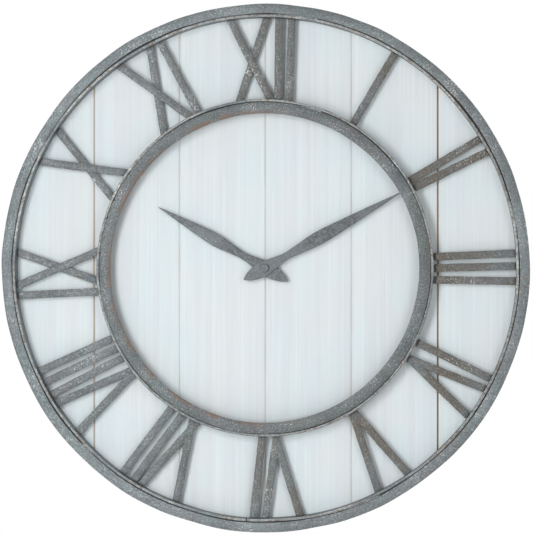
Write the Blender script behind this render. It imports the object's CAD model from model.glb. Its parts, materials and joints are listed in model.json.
"""Looks of a farmhouse wall clock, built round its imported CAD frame.

The clock faces -Y, +Z is up, and the hand axis is the Y axis. Lengths are in metres.
Angles round the dial are in degrees clockwise from twelve o'clock, as seen from the front.
"""

import json
from contextlib import contextmanager
from math import cos, hypot, pi, radians, sin

import bmesh
import bpy
from bpy.props import FloatProperty, FloatVectorProperty, IntProperty, PointerProperty
from bpy.types import NodeSocket, Operator, Panel, PropertyGroup
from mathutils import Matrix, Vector

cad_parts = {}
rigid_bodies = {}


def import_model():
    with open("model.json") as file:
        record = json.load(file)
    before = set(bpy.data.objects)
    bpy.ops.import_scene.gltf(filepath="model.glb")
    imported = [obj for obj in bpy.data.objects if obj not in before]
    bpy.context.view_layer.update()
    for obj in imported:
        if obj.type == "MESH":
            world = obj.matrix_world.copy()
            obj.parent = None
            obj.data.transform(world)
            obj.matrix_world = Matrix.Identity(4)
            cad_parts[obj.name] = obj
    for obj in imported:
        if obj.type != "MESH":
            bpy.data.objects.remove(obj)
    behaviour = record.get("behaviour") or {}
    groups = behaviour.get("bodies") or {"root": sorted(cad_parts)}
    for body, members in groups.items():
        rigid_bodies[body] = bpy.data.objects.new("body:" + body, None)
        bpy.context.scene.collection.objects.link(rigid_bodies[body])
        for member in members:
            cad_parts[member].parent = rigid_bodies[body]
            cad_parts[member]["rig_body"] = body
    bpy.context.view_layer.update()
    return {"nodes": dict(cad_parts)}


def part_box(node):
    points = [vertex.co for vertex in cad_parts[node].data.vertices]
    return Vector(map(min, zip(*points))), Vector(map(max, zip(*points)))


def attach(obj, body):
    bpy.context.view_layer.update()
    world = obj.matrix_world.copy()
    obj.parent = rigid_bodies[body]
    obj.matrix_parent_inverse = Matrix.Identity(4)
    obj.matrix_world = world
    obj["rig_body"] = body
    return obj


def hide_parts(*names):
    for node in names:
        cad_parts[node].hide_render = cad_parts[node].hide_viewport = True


bl_info = {
    "name": "Farmhouse Wall Clock",
    "version": (1, 0, 0),
    "blender": (4, 5, 0),
    "location": "3D View > Sidebar > Wall Clock",
    "description": "Builds the visible pieces of a farmhouse wall clock on its packed frame",
    "category": "Add Mesh",
}

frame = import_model()

MM = 0.001
MERGE = 0.01 * MM
SHARP = radians(30)
SMOOTH_BELOW = radians(38)

# Strokes of each numeral, as (angle at the outer mark, angle at the inner mark) from its hour
NUMERALS = {
    12: {"cross": ((-7, 0.6), (-0.4, -7.5)), "bar_a": ((3.4, 4.3),), "bar_b": ((6.4, 8),)},
    1: {"bar": ((1.3, 1.5),)},
    2: {"pair": ((-0.9, -1), (2.4, 1.9))},
    3: {"bar_a": ((-3.4, -3.7),), "bar_b": ((-0.4, 0),), "bar_c": ((3.1, 3.9),)},
    4: {"bar": ((-3.9, -4),), "vee": ((-0.9, 1.8), (5.6, 2.5))},
    5: {"vee": ((-4.6, -2.2), (2.6, -0.6))},
    6: {"vee": ((-7.7, -4.1), (-0.5, -3.5)), "bar": ((2.5, 1.1),)},
    7: {"vee": ((-8.7, -5.1), (-0.8, -5.5)), "bar_a": ((1.6, -0.3),), "bar_b": ((4.7, 3.9),)},
    8: {
        "vee": ((-11, -9), (-3.4, -6.9)),
        "bar_a": ((-0.8, -2),),
        "bar_b": ((2.5, 1.7),),
        "bar_c": ((5.4, 5.3),),
    },
    9: {"bar": ((-6.5, -7.9),), "cross": ((-3.2, 4.4), (2.9, -3.4))},
    10: {"cross": ((-3.9, 3.2), (2.7, -4.2))},
    11: {"cross": ((-4.9, 2.5), (1.6, -5.7)), "bar": ((5.2, 6.5),)},
}
OUTER_MARK_R = 311 * MM
INNER_MARK_R = 229 * MM
BAR_BLANK = 160 * MM

# Each ring as (node, width of its strip across the dial, noise by which it strays from true)
HOOP_STRIP = 3.3 * MM
INNER_FLANGE_STRIP = 14.8 * MM
RINGS = (
    ("outer_hoop", HOOP_STRIP, "ORIGINAL_PERLIN"),
    ("outer_flange", 12.7 * MM, "BLENDER_ORIGINAL"),
    ("inner_flange", INNER_FLANGE_STRIP, "IMPROVED_PERLIN"),
    ("inner_hoop", 3.1 * MM, "ORIGINAL_PERLIN"),
)
RUSTY_WIDTH = 8 * MM
BUTT_JOINT_ANGLE = 184
TAB_NOTCH_ANGLES = (275, 288, 294.5, 305)
# Runs of weld between hoop and flange, as (ring, angle where it starts, length in degrees)
SEAM_WELDS = (
    ("outer_hoop", 164, 11), ("outer_hoop", 12, 9), ("outer_hoop", 80, 5), ("outer_hoop", 226, 3),
    ("outer_hoop", 300, 4), ("inner_flange", 20, 7), ("inner_flange", 118, 4),
    ("inner_flange", 216, 3),
)

# Width and depth in millimetres of the groove at each seam between boards, from left to right
SEAMS = ((1.6, 2.3), (1.0, 1.3), (1.0, 1.3), (1.0, 1.3), (2.2, 3.2))
BACK_GROOVE = 1.4 * MM
BOARDS_PROUD = (0.0, 0.3, -0.1, 0.2, -0.2, 0.25)
STEM_HOLE_R = 4.6 * MM

# Half-widths of the hands, as (distance from the axis, half-width) in millimetres
MINUTE_BLADE = (
    (-31.4, 0.7), (-22, 6.4), (-6, 9.9), (10, 7.9), (30, 5.0),
    (50, 6.5), (80, 8.9), (115, 7.2), (160, 4.0), (201.5, 0.6),
)
HOUR_BLADE = (
    (-35, 0.7), (-24, 6.2), (-7, 9.9), (10, 8.0), (30, 4.9),
    (48, 6.0), (73, 8.5), (100, 6.8), (130, 3.6), (160, 0.5),
)

# Places in millimetres of the screws along a batten and of the ribs up the back cover
BATTEN_SCREWS = (-246, -192, -141, -81, -45, 45, 81, 141, 192, 246)
RIB_HEIGHTS = (-9, 14, 17, 20)
# Where the pale band round the battery cell starts and ends
CELL_BAND = (14 * MM, 18 * MM)

# Secondary colours
VIOLET_ZINC = (0.215, 0.198, 0.222)
TEAL_ZINC = (0.140, 0.195, 0.190)
PIT_BLACK = (0.050, 0.054, 0.056)
EDGE_RUST = (0.150, 0.115, 0.085)
HAND_HAZE = (0.185, 0.210, 0.222)
HAND_FLECK = (0.34, 0.37, 0.38)
WORN_WASH = (0.58, 0.55, 0.47)

# Settings


def number(name, description, default, unit="NONE", **options):
    return FloatProperty(
        name=name, description=description, default=default, unit=unit, **options
    )


def length(name, description, millimetres):
    return number(name, description, millimetres * MM, "LENGTH", precision=5)


def angle(name, description, degrees):
    return number(name, description, radians(degrees), subtype="ANGLE")


def colour(name, description, default):
    return FloatVectorProperty(
        name=name, description=description, default=default, min=0, max=1, subtype="COLOR"
    )


class RingSettings(PropertyGroup):
    """Sizes of the two rings that aren't in the frame."""

    edge_round: length("Edge Round", "Rounding of the strip's edges", 0.35)
    out_of_true: length("Out of True", "How far the bent strip strays from a true circle", 3.6)
    butt_gap: length("Butt Gap", "Gap where the ends of the outer hoop meet", 1.4)
    seam_lap: length("Seam Lap", "How far the bead behind a seam reaches to each side", 2.4)
    steps: IntProperty(name="Steps", description="Sections round a full ring", default=300)


class NumeralSettings(PropertyGroup):
    """Sizes of the flat bars that form the numerals."""

    width: length("Width", "Width of a flat bar", 10)
    end_fit: length("End Fit", "Gap between a bar's end and the hoop", 0.5)
    crossing_drop: length("Crossing Drop", "How far the second bar of a cross lies back", 2.6)
    edge_round: length("Edge Round", "Rounding of a bar's edges", 0.45)
    bead: length("Bead", "Radius of a weld bead", 2.3)


class BoardSettings(PropertyGroup):
    """Sizes of the boards behind the numerals."""

    pitch: length("Pitch", "Distance from one board's seam to the next", 112.2)
    chamfer: length("Chamfer", "Chamfer along a board's long edges", 0.5)
    hoop_cover: length("Hoop Cover", "How far the hoop's outside lies beyond the boards", 2.1)


class HandSettings(PropertyGroup):
    """Directions and sizes of the hands."""

    minute_angle: angle("Minute Angle", "Direction of the minute hand from twelve", 61)
    hour_angle: angle("Hour Angle", "Direction of the hour hand from twelve", 299.65)
    edge_round: length("Edge Round", "Rounding of a blade's edges", 0.25)
    stations: IntProperty(name="Stations", description="Widths set along each span", default=7)


class BackSettings(PropertyGroup):
    """Sizes of the battens, the hanger and the screws."""

    batten_ease: length("Batten Ease", "Rounding of a batten's edges", 1.4)
    plate_ease: length("Plate Ease", "Rounding of the hanger plate's edges", 0.25)
    screw_head: length("Screw Head", "Radius of a screw head", 3.7)


class MovementSettings(PropertyGroup):
    """Sizes of the quartz movement's visible pieces."""

    case_ease: length("Case Ease", "Rounding of the case's edges", 0.35)
    rib_height: length("Rib Height", "Height of the ribs on the back cover", 0.7)


class FinishSettings(PropertyGroup):
    """Colours of the main finishes."""

    zinc_dark: colour("Dark Zinc", "Darker cloud of the weathered zinc", (0.143, 0.177, 0.190))
    zinc_light: colour("Light Zinc", "Lighter cloud of the weathered zinc", (0.207, 0.243, 0.257))
    zinc_fleck: colour("Zinc Fleck", "Bright grains in the zinc", (0.50, 0.52, 0.51))
    brown_stain: colour("Brown Stain", "Brown age stain on the steel", (0.112, 0.102, 0.087))
    rust: colour("Rust", "Rust specks in the zinc", (0.165, 0.108, 0.078))
    seam_black: colour("Seam Black", "Dark scale in the seams of the rings", (0.022, 0.022, 0.024))
    chip_cream: colour("Cream Chip", "Cream chips on the hoops' front edges", (0.51, 0.50, 0.46))
    hand_grey: colour("Hand Grey", "Grey of the hands", (0.108, 0.121, 0.127))
    whitewash: colour("Whitewash", "Paint on the boards", (0.638, 0.704, 0.722))
    bare_wood: colour("Bare Wood", "Pine where it is unpainted", (0.52, 0.36, 0.21))
    case_black: colour("Case Black", "Plastic of the movement case", (0.022, 0.022, 0.024))
    cell_blue: colour("Cell Blue", "Wrapper of the battery cell", (0.06, 0.16, 0.36))


class StageSettings(PropertyGroup):
    """Camera, lights and floor."""

    azimuth: angle("Azimuth", "Camera direction, to the right of the clock's front", 3.5)
    distance: number("Distance", "Camera distance", 3.376, "LENGTH")
    lens: number("Lens", "Focal length in millimetres", 174, "CAMERA")
    aside: length("Aside", "How far the camera stands to the right of its line", 1.3)
    lift: length("Lift", "How far the camera stands above the hand axis", 0.65)
    key_power: number("Key Power", "Power of the tall light on the left", 27.5, "POWER")
    fill_power: number("Fill Power", "Power of the light on the right", 8, "POWER")
    back_power: number("Back Power", "Power of the light behind", 60, "POWER")
    ambient: number("Ambient", "Strength of the light from all round", 0.30)
    floor_z: length("Floor Height", "Height of the floor from the hand axis", -620)


class ClockSettings(PropertyGroup):
    """Every setting of the clock."""

    rings: PointerProperty(type=RingSettings)
    numerals: PointerProperty(type=NumeralSettings)
    boards: PointerProperty(type=BoardSettings)
    hands: PointerProperty(type=HandSettings)
    back: PointerProperty(type=BackSettings)
    movement: PointerProperty(type=MovementSettings)
    finishes: PointerProperty(type=FinishSettings)
    stage: PointerProperty(type=StageSettings)


# Modelling


def dial_point(radius, degrees, y=0):
    """The point at an angle in degrees clockwise from twelve o'clock."""
    return Vector((radius * sin(radians(degrees)), y, radius * cos(radians(degrees))))


def turn_of(direction):
    """The turn about the hand axis that takes +Z to the direction."""
    return Vector((direction.z, direction.x)).angle_signed(Vector((1, 0)))


def from_axis(point):
    return hypot(point.x, point.z)


def select_only(*pieces):
    bpy.ops.object.select_all(action="DESELECT")
    for piece in pieces:
        piece.select_set(True)
    bpy.context.view_layer.objects.active = pieces[0]


def apply_place(piece):
    select_only(piece)
    bpy.ops.object.transform_apply(location=True, rotation=True, scale=True)


def added(scale=(1, 1, 1)):
    """The piece that an operator has just added, scaled and with its place applied."""
    piece = bpy.context.active_object
    piece.scale = scale
    apply_place(piece)
    return piece


def turn_piece(piece, *angles):
    piece.rotation_euler = angles
    apply_place(piece)


@contextmanager
def editing(piece, kind="FACE"):
    """Edit mode on the piece, with nothing selected."""
    select_only(piece)
    bpy.ops.object.mode_set(mode="EDIT")
    bpy.ops.mesh.select_mode(type=kind)
    bpy.ops.mesh.select_all(action="DESELECT")
    yield
    bpy.ops.object.mode_set(mode="OBJECT")


def pick_all():
    bpy.ops.mesh.select_all(action="SELECT")


def face_outwards():
    pick_all()
    bpy.ops.mesh.normals_make_consistent(inside=False)


def middle(part):
    return sum((vert.co for vert in part.verts), Vector()) / len(part.verts)


def pick(kind, test):
    """In edit mode, selects only the parts of that kind that pass the test."""
    bpy.ops.mesh.select_mode(type=kind)
    bpy.ops.mesh.select_all(action="DESELECT")
    mesh = bpy.context.edit_object.data
    shape = bmesh.from_edit_mesh(mesh)
    parts = {"FACE": shape.faces, "EDGE": shape.edges, "VERT": shape.verts}[kind]
    found = [part for part in parts if test(part)]
    for part in found:
        part.select_set(True)
    bmesh.update_edit_mesh(mesh)
    if not found:
        raise RuntimeError(f"{bpy.context.edit_object.name}: no {kind.lower()} passes the test")


def change(piece, kind, **values):
    """Adds a modifier with these values and applies it."""
    select_only(piece)
    modifier = piece.modifiers.new(kind.title(), kind)
    for key, value in values.items():
        setattr(modifier, key, value)
    bpy.ops.object.modifier_apply(modifier=modifier.name)


def ease_edges(piece, width, segments=2):
    """Rounds every edge sharper than 30 degrees."""
    change(
        piece,
        "BEVEL",
        width=width,
        segments=segments,
        limit_method="ANGLE",
        angle_limit=SHARP,
        use_clamp_overlap=True,
        miter_outer="MITER_ARC",
    )


def carve(piece, tool, operation="DIFFERENCE"):
    """Combines the piece with a tool, which is then removed."""
    change(piece, "BOOLEAN", object=tool, operation=operation, solver="EXACT")
    bpy.data.objects.remove(tool)


def add_box(low, high, turn=0.0):
    """A box between two corners, turned about the hand axis."""
    low, high = Vector(low), Vector(high)
    bpy.ops.mesh.primitive_cube_add(size=1, location=(low + high) / 2)
    box = added(high - low)
    turn_piece(box, 0, turn, 0)
    return box


def add_disc(radius, front_y, back_y, x=0.0, z=0.0, sides=32):
    """A round bar along the depth of the clock."""
    bpy.ops.mesh.primitive_cylinder_add(
        vertices=sides,
        radius=radius,
        depth=back_y - front_y,
        location=(x, (front_y + back_y) / 2, z),
        rotation=(pi / 2, 0, 0),
    )
    return added()


def join(pieces):
    select_only(*pieces)
    bpy.ops.object.join()
    return bpy.context.active_object


def copy_at(piece, place, turn=0.0):
    """A copy with its own mesh, turned about the depth axis and moved to the place."""
    twin = piece.copy()
    twin.data = piece.data.copy()
    twin.location = place
    twin.rotation_euler = (0, turn, 0)
    bpy.context.scene.collection.objects.link(twin)
    apply_place(twin)
    return twin


def merged_copy(node):
    """A new piece with the CAD node's shape, its loose triangles merged into whole faces."""
    piece = bpy.data.objects.new(node, frame["nodes"][node].data.copy())
    bpy.context.scene.collection.objects.link(piece)
    with editing(piece):
        pick_all()
        bpy.ops.mesh.customdata_custom_splitnormals_clear()
        bpy.ops.mesh.remove_doubles(threshold=MERGE / 10)
        bpy.ops.mesh.dissolve_limited(angle_limit=radians(1))
        face_outwards()
    return piece


def warp(piece, reach, size, basis="BLENDER_ORIGINAL"):
    """Moves the piece's points a little by a cloud noise, as hand-bent metal strays."""
    cloud = bpy.data.textures.new(f"{piece.name}_cloud", "CLOUDS")
    cloud.noise_scale = size
    cloud.noise_basis = basis
    cloud.cloud_type = "COLOR"
    change(
        piece,
        "DISPLACE",
        texture=cloud,
        texture_coords="LOCAL",
        direction="RGB_TO_XYZ",
        strength=reach,
        mid_level=0.5,
    )


def complete(piece, name, node, material, replaces=True):
    """Names, shades and paints a finished piece, and sets it to ride on the node's body."""
    piece.name = name
    piece.data.name = name
    select_only(piece)
    bpy.ops.object.shade_smooth_by_angle(angle=SMOOTH_BELOW)
    piece.data.materials.clear()
    piece.data.materials.append(material)
    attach(piece, frame["nodes"][node]["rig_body"])
    if replaces:
        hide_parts(node)


def ease_node(node, width, material, segments=2, piece=None):
    """The node's shape, or a piece made from it, with its edges eased."""
    piece = piece or merged_copy(node)
    ease_edges(piece, width, segments)
    complete(piece, f"{node}_eased", node, material)


# Finishes


def shade(colour, factor):
    return tuple(factor * value for value in colour)


class Recipe:
    """A Principled material being made, its base colour laid on layer by layer."""

    def __init__(self, name, metallic=0.0):
        self.material = bpy.data.materials.new(name)
        self.material.use_nodes = True
        self.tree = self.material.node_tree
        self.shader = self.tree.nodes["Principled BSDF"]
        self.shader.inputs["Metallic"].default_value = metallic
        self.place = self.node("ShaderNodeTexCoord").outputs["Object"]
        self.base = None

    def node(self, kind, inputs=None, **settings):
        node = self.tree.nodes.new(kind)
        for key, value in settings.items():
            setattr(node, key, value)
        for key, value in (inputs or {}).items():
            self.feed(node.inputs[key], value)
        return node

    def feed(self, socket, value):
        if isinstance(value, NodeSocket):
            self.tree.links.new(value, socket)
        elif socket.type == "RGBA":
            socket.default_value = (*value, 1)
        else:
            socket.default_value = value

    def axes(self):
        """The X, Y and Z of the point."""
        return self.node("ShaderNodeSeparateXYZ", {0: self.place}).outputs

    def mapped(self, **values):
        """The point, moved by a Location or stretched by a Scale."""
        return self.node("ShaderNodeMapping", {"Vector": self.place, **values}).outputs["Vector"]

    def grain(self, scale, detail=4, roughness=0.5, place=None):
        inputs = {"Vector": place or self.place, "Scale": scale, "Detail": detail}
        return self.node("ShaderNodeTexNoise", {**inputs, "Roughness": roughness}).outputs["Fac"]

    def fibres(self, scales, detail=4, roughness=0.6):
        """Noise with its own scale along each axis."""
        return self.grain(1, detail, roughness, self.mapped(Scale=scales))

    def between(self, value, low, high):
        """0 below low and 1 above high, rising smoothly. With low above high, it falls."""
        inputs = {"Value": value, "From Min": low, "From Max": high}
        node = self.node("ShaderNodeMapRange", inputs, interpolation_type="SMOOTHSTEP")
        return node.outputs["Result"]

    def patches(self, scale, low, high, detail=4, roughness=0.5, place=None):
        return self.between(self.grain(scale, detail, roughness, place), low, high)

    def math(self, operation, first, second=0.0):
        return self.node("ShaderNodeMath", {0: first, 1: second}, operation=operation).outputs[0]

    def times(self, value, *factors):
        for factor in factors:
            value = self.math("MULTIPLY", value, factor)
        return value

    def blend(self, share, first, second):
        inputs = {0: share, 6: first, 7: second}
        return self.node("ShaderNodeMix", inputs, data_type="RGBA").outputs[2]

    def start(self, share, first, second):
        self.base = self.blend(share, first, second)

    def layer(self, mask, strength, colour):
        self.base = self.blend(self.times(mask, strength), self.base, colour)

    def finished(self, shine, rough, height, depth, strength):
        """The material, its roughness over a range as shine rises, its relief in millimetres."""
        range_inputs = {"Value": shine, "To Min": rough[0], "To Max": rough[1]}
        bump_inputs = {"Height": height, "Distance": depth * MM, "Strength": strength}
        inputs = self.shader.inputs
        self.feed(inputs["Base Color"], self.base)
        self.feed(inputs["Roughness"], self.node("ShaderNodeMapRange", range_inputs).outputs[0])
        self.feed(inputs["Normal"], self.node("ShaderNodeBump", bump_inputs).outputs[0])
        return self.material


def weathered_steel(name, colours, tone, brown, flecks, chips_y=None, rust_r=None):
    """Zinc-grey steel in soft clouds, with brown age stains, dark pits and bright grains.

    tone scales the zinc. brown is the strength of the stains at the left and at the right of the
    dial. flecks is the noise value where the bright grains start, chips_y is the depth in front
    of which the edge is chipped, and rust_r is the radius of an inner edge that rusts on the left.
    """
    recipe = Recipe(name, metallic=0.45)
    between, patches, layer = recipe.between, recipe.patches, recipe.layer
    times, math = recipe.times, recipe.math
    x, y, z = recipe.axes()
    clouds = patches(24, 0.36, 0.64, 6, 0.62)
    recipe.start(clouds, shade(colours.zinc_dark, tone), shade(colours.zinc_light, tone))
    layer(patches(37, 0.40, 0.62), 0.22, VIOLET_ZINC)
    aside = recipe.mapped(Location=(0.7, 0.7, 0.7))
    layer(patches(29, 0.50, 0.66, place=aside), 0.28, TEAL_ZINC)
    drift = times(between(x, -0.17, 0.15), brown[1] - brown[0])
    spread = times(patches(15, 0.36, 0.62, 4, 0.55), 0.80)
    layer(math("ADD", drift, brown[0]), math("ADD", spread, 0.20), colours.brown_stain)
    layer(patches(430, 0.48, 0.38, 3, 0.7), 0.42, PIT_BLACK)
    layer(patches(210, 0.58, 0.66, 3, 0.7), 0.55, colours.rust)
    grains = patches(540, 0.54, 0.62, 3, 0.75)
    thick = times(patches(23, flecks, flecks + 0.12, 5, 0.65), 0.55)
    layer(grains, math("ADD", thick, 0.32), colours.zinc_fleck)
    if rust_r is not None:
        radius = math("SQRT", math("ADD", times(x, x), times(z, z)))
        edge = between(radius, rust_r + RUSTY_WIDTH, rust_r)
        left = between(x, 0.09, -0.06)
        layer(times(edge, left, patches(34, 0.40, 0.56, 5, 0.6)), 0.9, colours.rust)
    if chips_y is not None:
        front = between(y, chips_y, chips_y - 0.3 * MM)
        layer(front, 0.22, colours.zinc_fleck)
        layer(front, times(patches(260, 0.50, 0.60, 3), 0.75), EDGE_RUST)
        chipped = patches(420, 0.50, 0.57, 3, 0.7)
        layer(front, times(chipped, patches(9, 0.49, 0.64, 3)), colours.chip_cream)
    return recipe.finished(grains, (0.62, 0.42), recipe.grain(300, 6, 0.7), 0.45, 0.6)


def seam_scale(name, colours):
    """Black scale and dirt at the foot of a seam."""
    recipe = Recipe(name)
    crust = recipe.grain(300, 4, 0.6)
    black = colours.seam_black
    recipe.start(recipe.between(crust, 0.4, 0.62), black, shade(black, 1.9))
    return recipe.finished(crust, (0.75, 0.9), crust, 0.3, 0.6)


def hand_steel(name, colours):
    recipe = Recipe(name, metallic=0.4)
    mottle = recipe.grain(240, 5, 0.7)
    grey = colours.hand_grey
    recipe.start(recipe.between(mottle, 0.36, 0.64), shade(grey, 0.58), shade(grey, 1.20))
    recipe.layer(recipe.patches(24, 0.42, 0.62), 0.35, HAND_HAZE)
    recipe.layer(recipe.patches(560, 0.56, 0.64, 3, 0.7), 0.6, HAND_FLECK)
    return recipe.finished(mottle, (0.45, 0.68), recipe.grain(380), 0.25, 0.5)


def brushed_whitewash(name, colours, sizes):
    """Whitewash brushed along the grain, thin and warm along the seams, with bare pine behind."""
    recipe = Recipe(name)
    between, times, math = recipe.between, recipe.times, recipe.math
    x, y, _ = recipe.axes()
    board = math("DIVIDE", x, sizes.pitch)
    number = {"W": math("FLOOR", board)}
    tone = recipe.node("ShaderNodeTexWhiteNoise", number, noise_dimensions="1D").outputs[0]
    broad = recipe.fibres((52, 30, 1.5))
    streaks = recipe.fibres((230, 40, 2.4))
    fine = recipe.fibres((760, 120, 9), 3)
    red, green, blue = colours.whitewash
    warm = (red * 1.015, green * 0.985, blue * 0.98)
    cool = (red * 0.965, green * 0.995, blue * 1.005)
    recipe.start(recipe.patches(11, 0.36, 0.64, 3), cool, warm)
    for mask, strength, tint in (
        (tone, 0.22, (0.66, 0.74, 0.76)),
        (between(broad, 0.42, 0.62), 0.30, (0.585, 0.590, 0.640)),
        (between(streaks, 0.40, 0.66), 0.30, (0.600, 0.625, 0.635)),
        (between(streaks, 0.46, 0.30), 0.30, (0.740, 0.780, 0.790)),
        (between(fine, 0.54, 0.72), 0.22, (0.540, 0.540, 0.530)),
    ):
        recipe.layer(mask, strength, tint)
    to_seam = math("ABSOLUTE", math("SUBTRACT", math("FRACT", board), 0.5))
    edge = between(to_seam, 0.5 - 2.2 * MM / sizes.pitch, 0.5 - 0.7 * MM / sizes.pitch)
    rubbed = between(recipe.fibres((60, 60, 16), 3, 0.5), 0.3, 0.6)
    recipe.layer(times(edge, rubbed), 0.45, WORN_WASH)
    front_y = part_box("board_1")[0].y
    behind = between(y, front_y + 1.5 * MM, front_y + 3 * MM)
    rings = between(recipe.fibres((75, 75, 2.6), 4, 0.55), 0.38, 0.62)
    late = times(math("ADD", rings, times(tone, 0.7)), 0.7)
    pine = recipe.blend(late, colours.bare_wood, shade(colours.bare_wood, 0.60))
    recipe.layer(behind, 1, pine)
    height = math("ADD", streaks, times(fine, 0.5))
    return recipe.finished(streaks, (0.62, 0.85), height, 0.35, 0.55)


def sawn_pine(name, colours):
    recipe = Recipe(name)
    rings = recipe.fibres((2.6, 85, 85))
    fibres = recipe.fibres((24, 700, 700), 3, 0.5)
    wood = colours.bare_wood
    recipe.start(recipe.between(rings, 0.36, 0.62), shade(wood, 1.18), shade(wood, 0.66))
    recipe.layer(recipe.between(fibres, 0.55, 0.70), 0.35, (0.2, 0.12, 0.07))
    return recipe.finished(rings, (0.6, 0.82), fibres, 0.3, 0.5)


def speckled(name, low, high, metallic=0.0, rough=(0.4, 0.6), scale=220, depth=0.08):
    """A finish of two close colours in a fine grain, with a soft relief in millimetres."""
    recipe = Recipe(name, metallic)
    coarse = recipe.grain(scale, 5, 0.6)
    recipe.start(recipe.between(coarse, 0.35, 0.65), low, high)
    return recipe.finished(coarse, rough, recipe.grain(scale * 5, 3), depth, 0.5)


def wound_copper(name):
    """Enamelled wire in turns along the coil."""
    recipe = Recipe(name, metallic=0.9)
    inputs = {"Vector": recipe.place, "Scale": 900, "Distortion": 0.6, "Detail": 1}
    turns = recipe.node("ShaderNodeTexWave", inputs, bands_direction="Z").outputs["Fac"]
    recipe.start(turns, (0.24, 0.07, 0.03), (0.70, 0.33, 0.17))
    return recipe.finished(turns, (0.5, 0.3), turns, 0.15, 0.8)


def cell_wrapper(name, colours):
    """A plain printed sleeve with a pale band, and bare steel at both ends."""
    recipe = Recipe(name, metallic=0.3)
    between = recipe.between
    across = recipe.axes()["X"]
    haze = recipe.grain(160)
    recipe.start(between(haze, 0.35, 0.65), colours.cell_blue, shade(colours.cell_blue, 1.25))
    left, right = CELL_BAND
    from_left = between(across, left - 0.1 * MM, left + 0.1 * MM)
    to_right = between(across, right + 0.1 * MM, right - 0.1 * MM)
    recipe.layer(from_left, to_right, (0.62, 0.64, 0.66))
    low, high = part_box("battery_cell")
    minus = between(across, low.x + 0.5 * MM, low.x + 0.3 * MM)
    plus = between(across, high.x - 1.7 * MM, high.x - 1.5 * MM)
    recipe.layer(recipe.math("ADD", minus, plus), 1, (0.55, 0.55, 0.56))
    return recipe.finished(haze, (0.28, 0.42), haze, 0.05, 0.4)


def finish(make, name, *values):
    """The finish of that name, made the first time that it is asked for."""
    return bpy.data.materials.get(name) or make(name, *values)


def plated_steel():
    return finish(speckled, "zinc_plate", (0.42, 0.43, 0.44), (0.62, 0.63, 0.64), 1)


def turned_brass():
    return finish(speckled, "turned_brass", (0.58, 0.40, 0.14), (0.78, 0.60, 0.28), 1)



# Pieces


class WALLCLOCK_OT_rings(Operator):
    """Bend the two hoops and their flanges, with the butt joint, tab notches and seam welds"""

    bl_idname = "wall_clock.rings"
    bl_label = "Rings"

    def execute(self, context):
        settings = context.scene.wall_clock
        self.sizes = sizes = settings.rings
        colours = settings.finishes
        chips_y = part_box("outer_hoop")[0].y + 0.5 * MM
        rust_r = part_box("inner_flange")[1].x - INNER_FLANGE_STRIP
        zinc = {
            "outer_hoop": ("hoop_zinc", colours, 1.05, (0.15, 0.40), 0.54, chips_y),
            "outer_flange": ("rim_zinc", colours, 0.95, (0.02, 0.24), 0.50),
            "inner_flange": ("flange_zinc", colours, 0.66, (0.08, 0.26), 0.55, None, rust_r),
        }
        zinc["inner_hoop"] = zinc["outer_hoop"]
        for node, strip, basis in RINGS:
            low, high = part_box(node)
            gap = sizes.butt_gap / high.x * 180 / pi if node == "outer_hoop" else 0
            ring = self.ring(high.x - strip, high.x, (low.y, high.y), BUTT_JOINT_ANGLE, 360 - gap)
            if node == "inner_flange":
                start = (-2.6 * MM, low.y - MM, high.x - MM)
                end = (2.6 * MM, high.y + MM, high.x + MM)
                notches = [add_box(start, end, radians(at)) for at in TAB_NOTCH_ANGLES]
                carve(ring, join(notches))
            warp(ring, sizes.out_of_true, 0.11, basis)
            steel = finish(weathered_steel, *zinc[node])
            complete(ring, f"{node}_strip", node, steel)
        self.weld_seams(finish(weathered_steel, *zinc["outer_hoop"]))
        self.back_seams(finish(seam_scale, "seam_scale", colours))
        return {"FINISHED"}

    def ring(self, inner_r, outer_r, ys, start=0.0, sweep=360.0, steps=0):
        """A strip section with rounded corners, spun round the hand axis."""
        bpy.ops.mesh.primitive_plane_add(size=1, location=((inner_r + outer_r) / 2, sum(ys) / 2, 0))
        ring = added((outer_r - inner_r, ys[1] - ys[0], 1))
        with editing(ring, "VERT"):
            pick_all()
            bpy.ops.mesh.bevel(offset=self.sizes.edge_round, segments=2, affect="VERTICES")
            pick_all()
            if sweep >= 360:
                bpy.ops.mesh.delete(type="ONLY_FACE")
                pick_all()
            bpy.ops.mesh.spin(
                steps=max(2, round((steps or self.sizes.steps) * sweep / 360)),
                angle=radians(sweep),
                center=(0, 0, 0),
                axis=(0, 1, 0),
            )
            pick_all()
            bpy.ops.mesh.remove_doubles(threshold=MERGE)
            face_outwards()
        turn_piece(ring, 0, radians(start - 90), 0)
        return ring

    def back_seams(self, scale):
        """A bead of dark scale behind each seam, from the hoop to the flange."""
        lap = self.sizes.seam_lap
        for name, hoop, flange, seam in (
            ("outer_seam_bead", "outer_hoop", "outer_flange", "outer_hoop"),
            ("inner_seam_bead", "inner_hoop", "inner_flange", "inner_flange"),
        ):
            seam_r, back_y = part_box(seam)[1].x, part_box(flange)[1].y
            ys = (back_y - 0.4 * MM, back_y + 1.4 * MM)
            bead = self.ring(seam_r - lap, seam_r + lap, ys)
            complete(bead, name, hoop, scale, replaces=False)

    def weld_seams(self, zinc):
        """Runs of weld that close the seam between a hoop and its flange."""
        front_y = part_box("outer_flange")[0].y
        ys = (front_y - 0.2 * MM, front_y + 1.2 * MM)
        welds = []
        for node, start, sweep in SEAM_WELDS:
            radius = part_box(node)[1].x
            welds.append(self.ring(radius - 0.5 * MM, radius + 1.3 * MM, ys, start, sweep, 240))
        seams = join(welds)
        warp(seams, 3 * MM, 0.01)
        complete(seams, "seam_welds", "outer_hoop", zinc, replaces=False)


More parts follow.
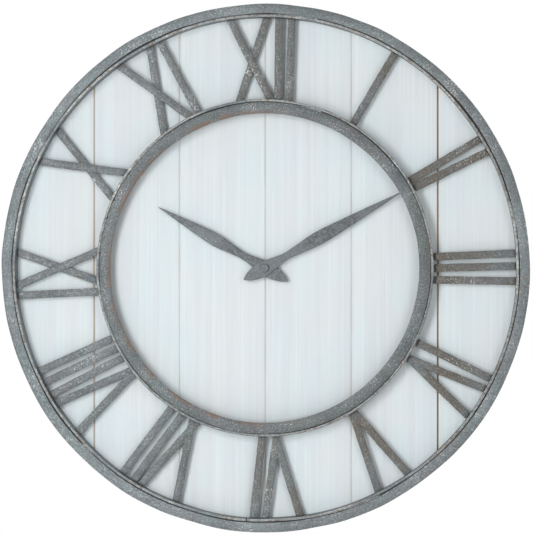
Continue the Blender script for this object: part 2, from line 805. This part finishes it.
class WALLCLOCK_OT_numerals(Operator):
    """Cut, ease and weld in the flat bars of the Roman numerals"""

    bl_idname = "wall_clock.numerals"
    bl_label = "Numerals"

    def execute(self, context):
        settings = context.scene.wall_clock
        self.sizes = settings.numerals
        self.inner_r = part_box("inner_hoop")[1].x + self.sizes.end_fit
        self.outer_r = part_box("outer_hoop")[1].x - HOOP_STRIP - self.sizes.end_fit
        low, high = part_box("numeral_01_bar")
        self.thickness = high.y - low.y
        colours = settings.finishes
        steel = finish(weathered_steel, "bar_steel", colours, 0.74, (0.22, 1), 0.51)
        ends = []
        for hour, pieces in NUMERALS.items():
            letters = iter("abcde")
            for kind, strokes in pieces.items():
                node = f"numeral_{hour:02d}_{kind}"
                for index, stroke in enumerate(strokes):
                    drop = index * self.sizes.crossing_drop if kind == "cross" else 0
                    bar, marks = self.bar(hour, stroke, low.y + drop)
                    name = f"bar_{hour:02d}_{next(letters)}"
                    complete(bar, name, node, steel)
                    ends += marks
        self.weld_ends(ends, steel)
        return {"FINISHED"}

    def bar(self, hour, stroke, front_y):
        """One straight bar between the hoops, and the points where its ends meet them."""
        sizes = self.sizes
        outer = dial_point(OUTER_MARK_R, hour * 30 + stroke[0])
        inner = dial_point(INNER_MARK_R, hour * 30 + stroke[1])
        along = (outer - inner).normalized()
        flat = (outer + inner) / 2
        middle_y = front_y + self.thickness / 2
        place, turn = (flat.x, middle_y, flat.z), (0, turn_of(along), 0)
        bpy.ops.mesh.primitive_cube_add(size=1, location=place, rotation=turn)
        bar = added((sizes.width, self.thickness, BAR_BLANK))
        half = flat.dot(along)
        ends = [
            flat + along * ((half**2 - flat.length_squared + radius**2) ** 0.5 - half)
            for radius in (self.inner_r, self.outer_r)
        ]
        with editing(bar, "EDGE"):
            for end, direction in zip(ends, (-1, 1), strict=True):
                pick_all()
                outwards = end.normalized() * direction
                bpy.ops.mesh.bisect(
                    plane_co=end, plane_no=outwards, use_fill=True, clear_outer=True
                )
            pick("EDGE", lambda edge: edge.calc_length() > 40 * MM)
            bpy.ops.mesh.subdivide(number_cuts=24)
            bpy.ops.mesh.select_all(action="DESELECT")
            bpy.ops.mesh.edges_select_sharp(sharpness=SHARP)
            bpy.ops.mesh.bevel(offset=sizes.edge_round, segments=2, affect="EDGES")
        warp(bar, 1.1 * MM, 0.012)
        return bar, [(Vector((end.x, middle_y, end.z)), end.normalized()) for end in ends]

    def weld_ends(self, ends, steel):
        """A low lump of weld behind each end of each bar."""
        bpy.ops.mesh.primitive_ico_sphere_add(subdivisions=3, radius=self.sizes.bead)
        bead = added((1.5, 0.7, 0.7))
        with editing(bead, "VERT"):
            pick_all()
            bpy.ops.transform.vertex_random(offset=0.12 * MM, uniform=0.4, normal=1, seed=4)
            bpy.ops.mesh.vertices_smooth(factor=0.4, repeat=1)
        behind = Vector((0, self.thickness / 2, 0))
        welds = join([copy_at(bead, place + behind, turn_of(out)) for place, out in ends])
        bpy.data.objects.remove(bead)
        complete(welds, "bar_welds", "outer_hoop", steel, replaces=False)


class WALLCLOCK_OT_boards(Operator):
    """Saw the boards round, chamfer their seams and lap them"""

    bl_idname = "wall_clock.boards"
    bl_label = "Boards"

    def execute(self, context):
        settings = context.scene.wall_clock
        sizes = settings.boards
        paint = finish(brushed_whitewash, "brushed_whitewash", settings.finishes, sizes)
        low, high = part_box("board_3")
        through = (low.y - 5 * MM, high.y + 5 * MM)
        edge_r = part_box("outer_hoop")[1].x - sizes.hoop_cover
        for index, lift in enumerate(BOARDS_PROUD):
            node = f"board_{index + 1}"
            gaps = [seam[0] * MM for seam in ((1, 0), *SEAMS, (1, 0))[index : index + 2]]
            left = (index - 3) * sizes.pitch + gaps[0] / 2
            right = (index - 2) * sizes.pitch - gaps[1] / 2
            front = low.y - lift * MM
            board = add_box((left, front, -edge_r - 5 * MM), (right, high.y, edge_r + 5 * MM))
            with editing(board):
                if index < len(SEAMS):
                    self.lip(front + SEAMS[index][1] * MM, high.y - BACK_GROOVE, right, gaps[1])
                pick(
                    "EDGE",
                    lambda edge, depth=front: middle(edge).y < depth + 0.1 * MM
                    and abs(middle(edge).z) < MM,
                )
                bpy.ops.mesh.bevel(offset=sizes.chamfer, segments=2, affect="EDGES")
            carve(board, add_disc(edge_r, *through, sides=360), "INTERSECT")
            if index in (2, 3):
                carve(board, add_disc(STEM_HOLE_R, *through, sides=40))
            complete(board, f"plank_{index + 1}", node, paint)
        return {"FINISHED"}

    def lip(self, front, back, side, gap):
        """A lip on the board's right side that closes the gap between a groove on each face."""
        for depth in (front, back):
            pick_all()
            bpy.ops.mesh.bisect(plane_co=(0, depth, 0), plane_no=(0, 1, 0))
        pick(
            "FACE",
            lambda face: face.normal.x > 0.9
            and middle(face).x > side - MM
            and front < middle(face).y < back,
        )
        bpy.ops.mesh.extrude_region_move(
            TRANSFORM_OT_translate={"value": (gap - 0.05 * MM, 0, 0)}
        )


def catmull_rom(a, b, c, d, t):
    slope = c - a
    bend = 2 * a - 5 * b + 4 * c - d
    twist = 3 * b - a - 3 * c + d
    return (2 * b + slope * t + bend * t * t + twist * t**3) / 2


def blade_stations(shape, steps):
    """The points of a smooth curve through the given (distance, half-width) pairs."""
    padded = [shape[0], *shape, shape[-1]]
    points = []
    for a, b, c, d in zip(padded, padded[1:], padded[2:], padded[3:], strict=False):
        for step in range(steps):
            points.append([catmull_rom(*values, step / steps) for values in zip(a, b, c, d)])
    return [(r * MM, w * MM) for r, w in [*points, shape[-1]]]


class WALLCLOCK_OT_hands(Operator):
    """Cut the two leaf hands and turn their cap nut"""

    bl_idname = "wall_clock.hands"
    bl_label = "Hands"

    def execute(self, context):
        settings = context.scene.wall_clock
        sizes = settings.hands
        steel = finish(hand_steel, "hand_steel", settings.finishes)
        for node, shape, direction, bore in (
            ("minute_hand", MINUTE_BLADE, sizes.minute_angle, 1.9 * MM),
            ("hour_hand", HOUR_BLADE, sizes.hour_angle, 2.9 * MM),
        ):
            blade = self.blade(node, shape, direction, bore, sizes)
            complete(blade, f"{node}_blade", node, steel)
        low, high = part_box("hand_cap_nut")
        cap = add_disc(high.x, low.y, high.y, sides=48)
        with editing(cap):
            pick("FACE", lambda face: face.normal.y < -0.9)
            bpy.ops.mesh.inset(thickness=high.x * 0.25)
            bpy.ops.mesh.inset(thickness=high.x * 0.3)
            pick("FACE", lambda face: face.normal.y < -0.9 and len(face.verts) > 4)
            bpy.ops.mesh.inset(thickness=high.x * 0.1)
            bpy.ops.transform.translate(value=(0, 0.25 * MM, 0))
            pick(
                "EDGE",
                lambda edge: middle(edge).y < low.y + 0.1 * MM
                and from_axis(middle(edge)) > high.x * 0.97
                and abs(edge.verts[0].co.y - edge.verts[1].co.y) < MERGE,
            )
            bpy.ops.mesh.bevel(offset=1.2 * MM, segments=5, affect="EDGES")
        complete(cap, "hand_cap", "hand_cap_nut", steel)
        ease_node("stem_washer", 0.25 * MM, plated_steel())
        ease_node("stem_nut", 0.25 * MM, turned_brass())
        return {"FINISHED"}

    def blade(self, node, shape, direction, bore, sizes):
        """A flat leaf, its width set station by station, then thickened and bored."""
        low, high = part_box(node)
        stations = blade_stations(shape, sizes.stations)
        spans = len(stations) - 1
        bpy.ops.mesh.primitive_grid_add(
            x_subdivisions=4, y_subdivisions=spans, size=1, rotation=(pi / 2, 0, 0)
        )
        blade = added()
        with editing(blade, "VERT"):
            for row, (distance, half_width) in enumerate(stations):
                pick("VERT", lambda vert, row=row: vert.index // 5 == row)
                bpy.ops.transform.resize(value=(2 * half_width, 1, 1))
                height = round(row / spans - 0.5, 5)
                bpy.ops.transform.translate(value=(0, 0, distance - height))
        change(blade, "SOLIDIFY", thickness=high.y - low.y, offset=1)
        blade.location.y += low.y - min(vert.co.y for vert in blade.data.vertices)
        apply_place(blade)
        with editing(blade):
            face_outwards()
        carve(blade, add_disc(bore, low.y - MM, high.y + MM, sides=40))
        ease_edges(blade, sizes.edge_round)
        turn_piece(blade, 0, direction, 0)
        return blade


def cross_head(radius):
    """A countersunk screw head with a cross recess, facing +Z, its face at the origin."""
    bpy.ops.mesh.primitive_cylinder_add(
        vertices=32, radius=radius, depth=1.6 * MM, location=(0, 0, -0.8 * MM)
    )
    head = added()
    with editing(head):
        pick("FACE", lambda face: face.normal.z < -0.9)
        bpy.ops.transform.resize(value=(0.62, 0.62, 1), center_override=(0, 0, -1.6 * MM))
    recess = Vector((radius * 0.575, radius * 0.13, 0.8 * MM))
    for turn in (0.3, 0.3 + pi / 2):
        cutter = add_box(-recess, recess)
        turn_piece(cutter, 0, 0, turn)
        carve(head, cutter)
    ease_edges(head, 0.12 * MM)
    return head


class WALLCLOCK_OT_back(Operator):
    """Ease the battens and hanger plate, and drive their screws"""

    bl_idname = "wall_clock.back"
    bl_label = "Battens and Hanger"

    def execute(self, context):
        settings = context.scene.wall_clock
        sizes = settings.back
        wood = finish(sawn_pine, "sawn_pine", settings.finishes)
        metal = plated_steel()
        self.head = cross_head(sizes.screw_head)
        turn_piece(self.head, -pi / 2, 0, 0)
        self.heads = []
        seat_r = sizes.screw_head + 0.35 * MM
        places = [(x * MM, (9 if i % 2 else -9) * MM) for i, x in enumerate(BATTEN_SCREWS)]
        for node in ("batten_upper", "batten_lower"):
            batten = self.screwed(node, places, (seat_r * 1.25, seat_r * 0.75), 0.1 * MM)
            ease_node(node, sizes.batten_ease * 0.5, wood, piece=batten)
        radii = (sizes.screw_head * 1.2, sizes.screw_head * 0.8)
        plate = self.screwed("hanger_plate", ((-22 * MM, 0), (22 * MM, 0)), radii, 0.05 * MM)
        ease_node("hanger_plate", sizes.plate_ease, metal, piece=plate)
        bpy.data.objects.remove(self.head)
        screws = join(self.heads)
        complete(screws, "back_screws", "batten_upper", metal, replaces=False)
        self.hoop_screws(sizes, metal)
        return {"FINISHED"}

    def screwed(self, node, places, radii, sunk):
        """The node's shape with a cone cut for each screw, and the screws' heads in the cones."""
        low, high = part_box(node)
        piece = merged_copy(node)
        seats = []
        for x, rise in places:
            z = (low.z + high.z) / 2 + rise
            bpy.ops.mesh.primitive_cone_add(
                vertices=32,
                radius1=radii[0],
                radius2=radii[1],
                depth=4 * MM,
                location=(x, high.y, z),
                rotation=(pi / 2, 0, 0),
            )
            seats.append(added())
            self.heads.append(copy_at(self.head, (x, high.y - sunk, z)))
        carve(piece, join(seats))
        return piece

    def hoop_screws(self, sizes, metal):
        """Screws through the outer hoop into the edges of the boards."""
        head = cross_head(sizes.screw_head)
        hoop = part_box("outer_hoop")[1].x
        low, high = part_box("board_1")
        y = (low.y + high.y) / 2
        heads = [
            copy_at(head, dial_point(hoop + 1.1 * MM, degrees, y), radians(degrees))
            for degrees in range(15, 360, 30)
        ]
        bpy.data.objects.remove(head)
        screws = join(heads)
        complete(screws, "hoop_screws", "outer_hoop", metal, replaces=False)


class WALLCLOCK_OT_movement(Operator):
    """Round off the movement's case, cover, knob, cell and contacts, and finish its inside"""

    bl_idname = "wall_clock.movement"
    bl_label = "Movement"

    def execute(self, context):
        settings = context.scene.wall_clock
        sizes = settings.movement
        colours = settings.finishes
        dark, light = shade(colours.case_black, 0.8), shade(colours.case_black, 1.6)
        black = finish(speckled, "case_plastic", dark, light, 0, (0.42, 0.55), 900, 0.1)
        white = finish(speckled, "white_nylon", (0.72, 0.71, 0.67), (0.82, 0.81, 0.78))
        metal = plated_steel()
        ease_node("movement_case", sizes.case_ease, black)
        cover = merged_copy("movement_back_cover")
        back_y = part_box("movement_back_cover")[1].y
        ribs = [
            add_box(
                (-20 * MM, back_y - 0.3 * MM, z * MM - 0.5 * MM),
                (6 * MM, back_y + sizes.rib_height, z * MM + 0.5 * MM),
            )
            for z in RIB_HEIGHTS
        ]
        carve(cover, join(ribs), "UNION")
        ease_node("movement_back_cover", sizes.case_ease, black, piece=cover)
        self.cell(colours)
        for node in ("contact_plus", "contact_minus"):
            ease_node(node, 0.12 * MM, metal)
        ease_node("set_knob", 0.12 * MM, white, segments=1)
        self.finish_inside(white, metal)
        return {"FINISHED"}

    def cell(self, colours):
        """A can with rolled ends and a nub."""
        low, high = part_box("battery_cell")
        radius = (high.y - low.y) / 2
        centre = (low + high) / 2
        body_end = high.x - 1.1 * MM
        bpy.ops.mesh.primitive_cylinder_add(
            vertices=64,
            radius=radius,
            depth=body_end - low.x,
            location=((low.x + body_end) / 2, centre.y, centre.z),
            rotation=(0, pi / 2, 0),
        )
        cell = added()
        with editing(cell):
            pick("FACE", lambda face: face.normal.x > 0.9)
            bpy.ops.mesh.inset(thickness=0.9 * MM)
            bpy.ops.transform.translate(value=(-0.5 * MM, 0, 0))
            bpy.ops.mesh.inset(thickness=3.2 * MM)
            bpy.ops.mesh.inset(thickness=0.3 * MM)
            bpy.ops.transform.translate(value=(1.6 * MM, 0, 0))
            pick("FACE", lambda face: face.normal.x < -0.9)
            bpy.ops.mesh.inset(thickness=0.9 * MM)
            bpy.ops.transform.translate(value=(0.4 * MM, 0, 0))
        ease_edges(cell, 0.25 * MM)
        wrapper = finish(cell_wrapper, "cell_wrapper", colours)
        complete(cell, "battery_cell_can", "battery_cell", wrapper)

    def finish_inside(self, white, metal):
        """Paints the frame's own pieces inside the case."""
        resin = finish(speckled, "circuit_resin", (0.02, 0.12, 0.05), (0.04, 0.2, 0.09))
        dark, light = (0.05, 0.05, 0.055), (0.12, 0.12, 0.13)
        inside = {
            "circuit_board": resin,
            "drive_coil": finish(wound_copper, "enamelled_wire"),
            "stator": metal,
            "rotor": finish(speckled, "sintered_magnet", dark, light, 0.6),
            "cannon_pinion": turned_brass(),
        }
        for wheel in ("intermediate", "seconds", "third", "centre", "minute", "hour"):
            inside[f"{wheel}_wheel"] = white
        for node, material in inside.items():
            for slot in frame["nodes"][node].material_slots:
                slot.material = material


class WALLCLOCK_OT_stage(Operator):
    """Lay the floor, and set the camera, the lights and the backdrop"""

    bl_idname = "wall_clock.stage"
    bl_label = "Stage"

    def execute(self, context):
        settings = context.scene.wall_clock.stage
        scene = context.scene
        self.floor(settings)
        azimuth = settings.azimuth
        place = Vector((sin(azimuth), -cos(azimuth), 0)) * settings.distance
        place += Vector((cos(azimuth), sin(azimuth), 0)) * settings.aside
        place.z += settings.lift
        bpy.ops.object.camera_add(location=place, rotation=(pi / 2, 0, azimuth))
        camera = bpy.context.active_object
        camera.name = "camera"
        camera.data.lens = settings.lens
        scene.camera = camera
        self.soft_light("key_light", (-0.68, -1.92, 0.12), (0.55, 1.5), settings.key_power)
        self.soft_light("fill_light", (0.9, -1.9, 0.10), (0.8, 1.2), settings.fill_power)
        self.soft_light("back_light", (1.4, 2.4, 1.2), (2, 2), settings.back_power)
        self.backdrop(scene, settings.ambient)
        scene.view_settings.view_transform = "Standard"
        return {"FINISHED"}

    def floor(self, settings):
        place = (0, 0.25, settings.floor_z)
        bpy.ops.mesh.primitive_grid_add(
            x_subdivisions=8, y_subdivisions=8, size=1, location=place
        )
        floor = added((3.4, 3.5, 1))
        floor.name = "floor"
        pale, paler = (0.92, 0.92, 0.91), (0.95, 0.95, 0.94)
        paint = speckled("floor_paint", pale, paler, 0, (0.7, 0.8), 12, 0.02)
        floor.data.materials.append(paint)

    def soft_light(self, name, place, size, power):
        """A rectangular light that faces the hand axis."""
        aim = (-Vector(place)).to_track_quat("-Z", "Y").to_euler()
        bpy.ops.object.light_add(type="AREA", location=place, rotation=aim)
        light = bpy.context.active_object
        light.name = name
        light.data.shape = "RECTANGLE"
        light.data.size, light.data.size_y = size
        light.data.energy = power
        light.visible_camera = False

    def backdrop(self, scene, ambient):
        """A white surround that lights the clock less than it shows."""
        world = bpy.data.worlds.new("surround")
        scene.world = world
        world.use_nodes = True
        nodes, links = world.node_tree.nodes, world.node_tree.links
        seen, lighting = nodes["Background"], nodes.new("ShaderNodeBackground")
        for background in (seen, lighting):
            background.inputs["Color"].default_value = (1, 1, 1, 1)
        lighting.inputs["Strength"].default_value = ambient
        mix = nodes.new("ShaderNodeMixShader")
        path = nodes.new("ShaderNodeLightPath")
        links.new(path.outputs["Is Camera Ray"], mix.inputs[0])
        links.new(lighting.outputs[0], mix.inputs[1])
        links.new(seen.outputs[0], mix.inputs[2])
        links.new(mix.outputs[0], nodes["World Output"].inputs["Surface"])


class VIEW3D_PT_wall_clock(Panel):
    """The builders of the wall clock's pieces"""

    bl_label = "Wall Clock"
    bl_idname = "VIEW3D_PT_wall_clock"
    bl_space_type = "VIEW_3D"
    bl_region_type = "UI"
    bl_category = "Wall Clock"

    def draw(self, context):
        settings = context.scene.wall_clock
        for operator, group in STEPS:
            box = self.layout.box()
            box.operator(operator.bl_idname)
            values = getattr(settings, group)
            for name in values.bl_rna.properties.keys():
                if name not in ("rna_type", "name"):
                    box.prop(values, name)


STEPS = (
    (WALLCLOCK_OT_rings, "rings"),
    (WALLCLOCK_OT_numerals, "numerals"),
    (WALLCLOCK_OT_boards, "boards"),
    (WALLCLOCK_OT_hands, "hands"),
    (WALLCLOCK_OT_back, "back"),
    (WALLCLOCK_OT_movement, "movement"),
    (WALLCLOCK_OT_stage, "stage"),
)
CLASSES = (
    RingSettings,
    NumeralSettings,
    BoardSettings,
    HandSettings,
    BackSettings,
    MovementSettings,
    FinishSettings,
    StageSettings,
    ClockSettings,
    *(operator for operator, _ in STEPS),
    VIEW3D_PT_wall_clock,
)


def register():
    for cls in CLASSES:
        bpy.utils.register_class(cls)
    bpy.types.Scene.wall_clock = PointerProperty(type=ClockSettings)


def unregister():
    del bpy.types.Scene.wall_clock
    for cls in reversed(CLASSES):
        bpy.utils.unregister_class(cls)


def main():
    register()
    for _, name in STEPS:
        getattr(bpy.ops.wall_clock, name)()


if __name__ == "__main__":
    main()
